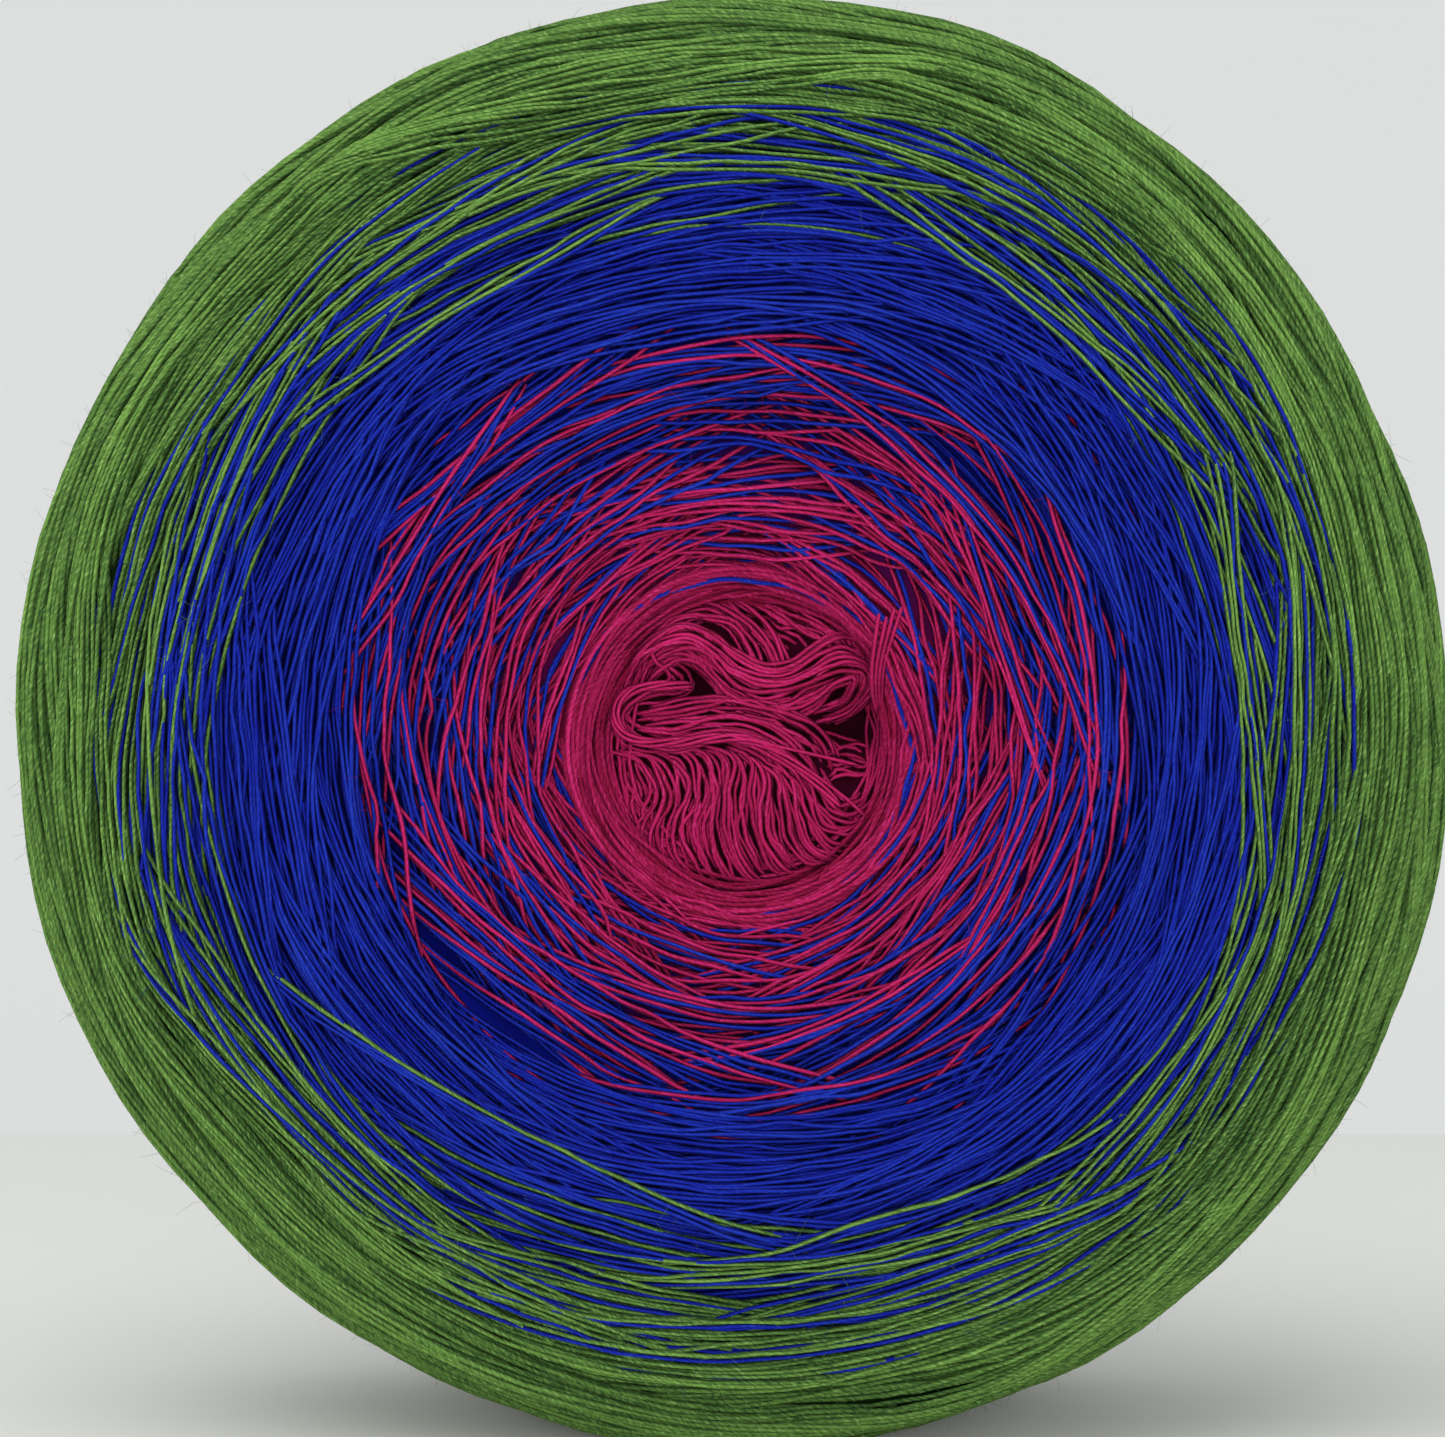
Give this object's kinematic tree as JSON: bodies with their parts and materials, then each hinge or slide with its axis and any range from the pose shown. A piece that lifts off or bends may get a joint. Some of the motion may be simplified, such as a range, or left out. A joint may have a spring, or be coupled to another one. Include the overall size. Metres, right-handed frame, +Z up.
{
  "type": "yarn cake",
  "caption": "Round cake of cross-wound gradient yarn, standing on its rim, with a slack core in its centre-pull hole, for knitting and crochet.",
  "frame": {"origin": "on the surface that the cake stands on, under the middle of its flattened foot", "axes": "+Z up; the cake's own axis lies along Y and its front end faces -Y; +X is to the right seen from the front"},
  "size_m": [0.1396, 0.074, 0.1391],
  "materials": {
    "wound_yarn": "fine matt cotton threads, green on the rim, blue and magenta towards the hole",
    "core_yarn": "fine matt cotton threads, magenta"
  },
  "bodies": {
    "root": {"wound_body": "wound_yarn", "slack_core": "core_yarn", "loose_end": "core_yarn"}
  },
  "joints": []
}
